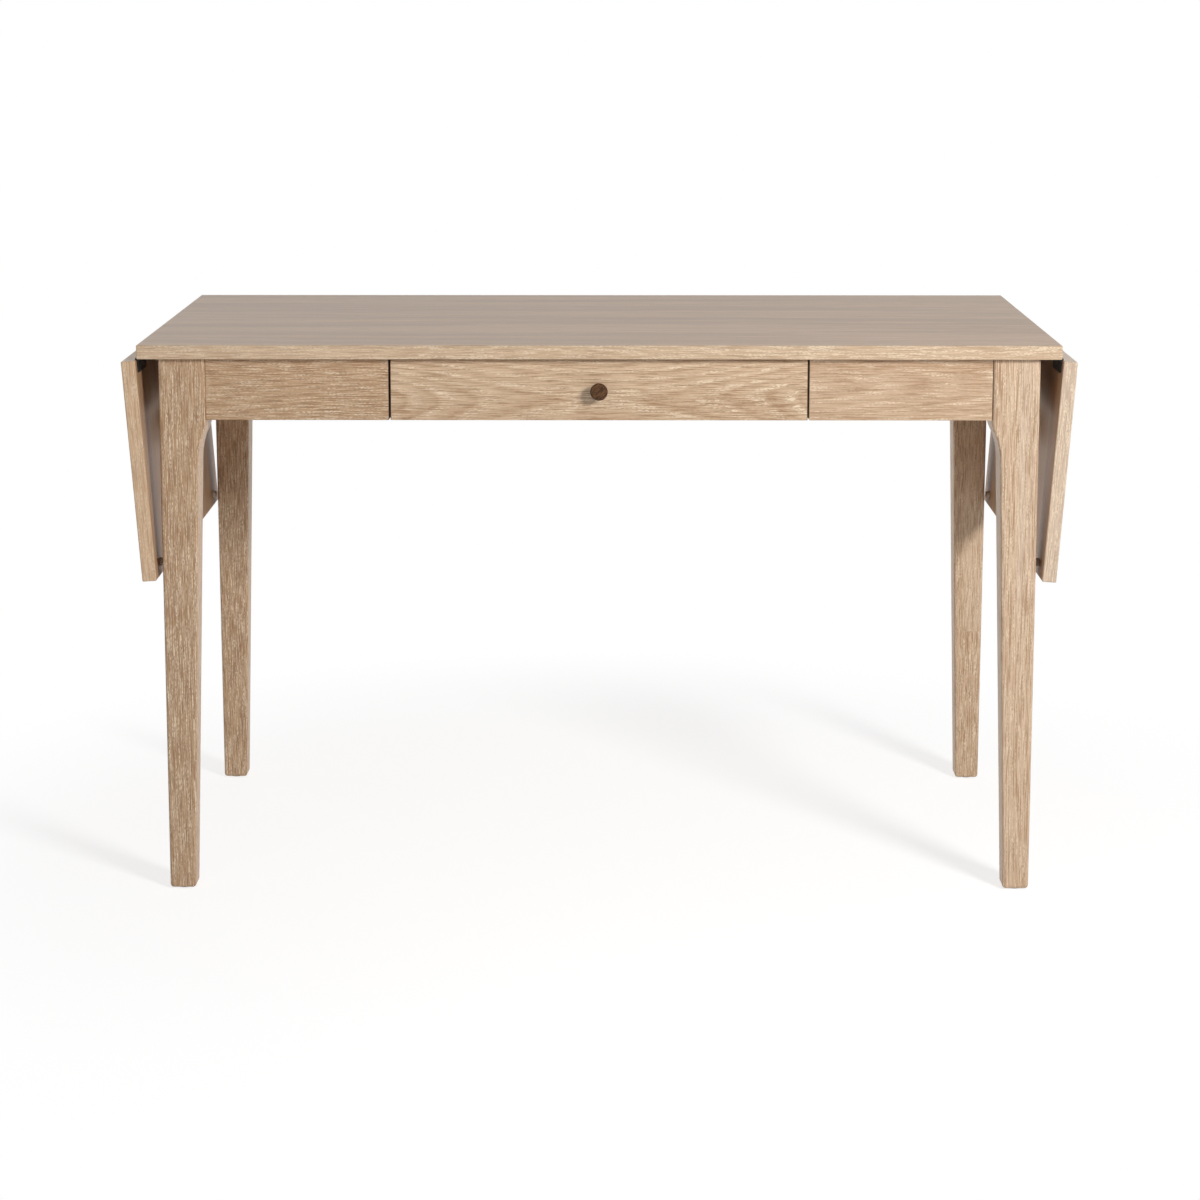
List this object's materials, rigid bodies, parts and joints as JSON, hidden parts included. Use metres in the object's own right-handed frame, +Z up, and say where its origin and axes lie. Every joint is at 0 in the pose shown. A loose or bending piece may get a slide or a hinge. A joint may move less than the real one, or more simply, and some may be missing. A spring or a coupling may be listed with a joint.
{
  "type": "extendable desk",
  "caption": "Oak writing desk with tapered legs, a middle drawer with a round knob, and a hinged drop leaf at each end that folding stays hold level.",
  "frame": {"origin": "on the floor, under the middle of the tabletop", "axes": "+X to the sitter's right along the desk's length, +Y away from the sitter, +Z up"},
  "size_m": [1.2652, 0.609, 0.75],
  "materials": {
    "limed_oak": "white-pigmented oak under a matt lacquer",
    "dark_wood": "dark stained, satin",
    "drawer_wood": "pale unstained, matt",
    "black_steel": "black powder coat, satin",
    "zinc_steel": "zinc plated",
    "rubber": "dark soft rubber",
    "glide_plastic": "matt"
  },
  "bodies": {
    "frame": {"back_apron": "limed_oak", "back_left_leg": "limed_oak", "back_right_leg": "limed_oak", "corner_blocks": "drawer_wood", "drawer_divider_left": "limed_oak", "drawer_divider_right": "limed_oak", "foot_glides": "glide_plastic", "front_left_leg": "limed_oak", "front_panel_left": "limed_oak", "front_panel_right": "limed_oak", "front_right_leg": "limed_oak", "front_top_rail": "limed_oak", "hanger_bolts": "zinc_steel", "hanger_nuts": "zinc_steel", "left_hinge_pins": "black_steel", "left_hinge_top_wings": "black_steel", "left_stay_apron_brackets": "black_steel", "left_stay_apron_pins": "black_steel", "right_hinge_pins": "black_steel", "right_hinge_top_wings": "black_steel", "right_stay_apron_brackets": "black_steel", "right_stay_apron_pins": "black_steel", "side_apron_left": "limed_oak", "side_apron_right": "limed_oak", "slide_outer_members": "zinc_steel", "tabletop": "limed_oak", "tabletop_hinge_screws": "black_steel", "top_brackets": "zinc_steel"},
    "drawer": {"drawer_front": "limed_oak", "drawer_side_left": "drawer_wood", "drawer_side_right": "drawer_wood", "drawer_back": "drawer_wood", "drawer_bottom": "drawer_wood", "drawer_knob": "dark_wood", "knob_screw": "zinc_steel", "slide_inner_members": "zinc_steel"},
    "slide_middles": {"slide_middle_members": "zinc_steel"},
    "left_leaf": {"left_leaf": "limed_oak", "left_hinge_leaf_wings": "black_steel", "left_leaf_hinge_screws": "black_steel", "left_leaf_buffers": "rubber", "left_stay_leaf_brackets": "black_steel", "left_stay_leaf_pins": "black_steel"},
    "left_stay_arms": {"left_stay_arms": "black_steel", "left_stay_knee_rivets": "black_steel"},
    "left_stay_links": {"left_stay_links": "black_steel"},
    "right_leaf": {"right_leaf": "limed_oak", "right_hinge_leaf_wings": "black_steel", "right_leaf_hinge_screws": "black_steel", "right_leaf_buffers": "rubber", "right_stay_leaf_brackets": "black_steel", "right_stay_leaf_pins": "black_steel"},
    "right_stay_arms": {"right_stay_arms": "black_steel", "right_stay_knee_rivets": "black_steel"},
    "right_stay_links": {"right_stay_links": "black_steel"}
  },
  "joints": [
    {"name": "drawer_slide", "type": "slide", "parent": "frame", "child": "drawer", "axis": [0, -1, 0], "range_m": [0, 0.38]},
    {"name": "slide_middle_slide", "type": "slide", "parent": "frame", "child": "slide_middles", "axis": [0, -1, 0], "range_m": [0, 0.19]},
    {"name": "left_leaf_hinge", "type": "hinge", "parent": "frame", "child": "left_leaf", "pos_m": [-0.6125, 0, 0.7297], "axis": [0, 1, 0], "range_deg": [-0.5, 94.13]},
    {"name": "left_stay_arm_pivot", "type": "hinge", "parent": "frame", "child": "left_stay_arms", "pos_m": [-0.5825, 0, 0.6847], "axis": [0, 1, 0], "range_deg": [-0.63, 108.69]},
    {"name": "left_stay_link_pivot", "type": "hinge", "parent": "left_leaf", "child": "left_stay_links", "pos_m": [-0.59712, 0, 0.63055], "axis": [0, 1, 0], "range_deg": [-128.96, 0.73]},
    {"name": "right_leaf_hinge", "type": "hinge", "parent": "frame", "child": "right_leaf", "pos_m": [0.6125, 0, 0.7297], "axis": [0, -1, 0], "range_deg": [-0.5, 94.13]},
    {"name": "right_stay_arm_pivot", "type": "hinge", "parent": "frame", "child": "right_stay_arms", "pos_m": [0.5825, 0, 0.6847], "axis": [0, -1, 0], "range_deg": [-0.63, 108.69]},
    {"name": "right_stay_link_pivot", "type": "hinge", "parent": "right_leaf", "child": "right_stay_links", "pos_m": [0.59712, 0, 0.63055], "axis": [0, -1, 0], "range_deg": [-128.96, 0.73]}
  ],
  "couplings": [
    {"joint": "slide_middle_slide", "follows": "drawer_slide", "ratio": 0.5},
    {"joint": "left_stay_arm_pivot", "follows": "left_leaf_hinge", "ratio": 1.1542},
    {"joint": "left_stay_link_pivot", "follows": "left_leaf_hinge", "ratio": -1.3695},
    {"joint": "right_stay_arm_pivot", "follows": "right_leaf_hinge", "ratio": 1.1542},
    {"joint": "right_stay_link_pivot", "follows": "right_leaf_hinge", "ratio": -1.3695}
  ]
}
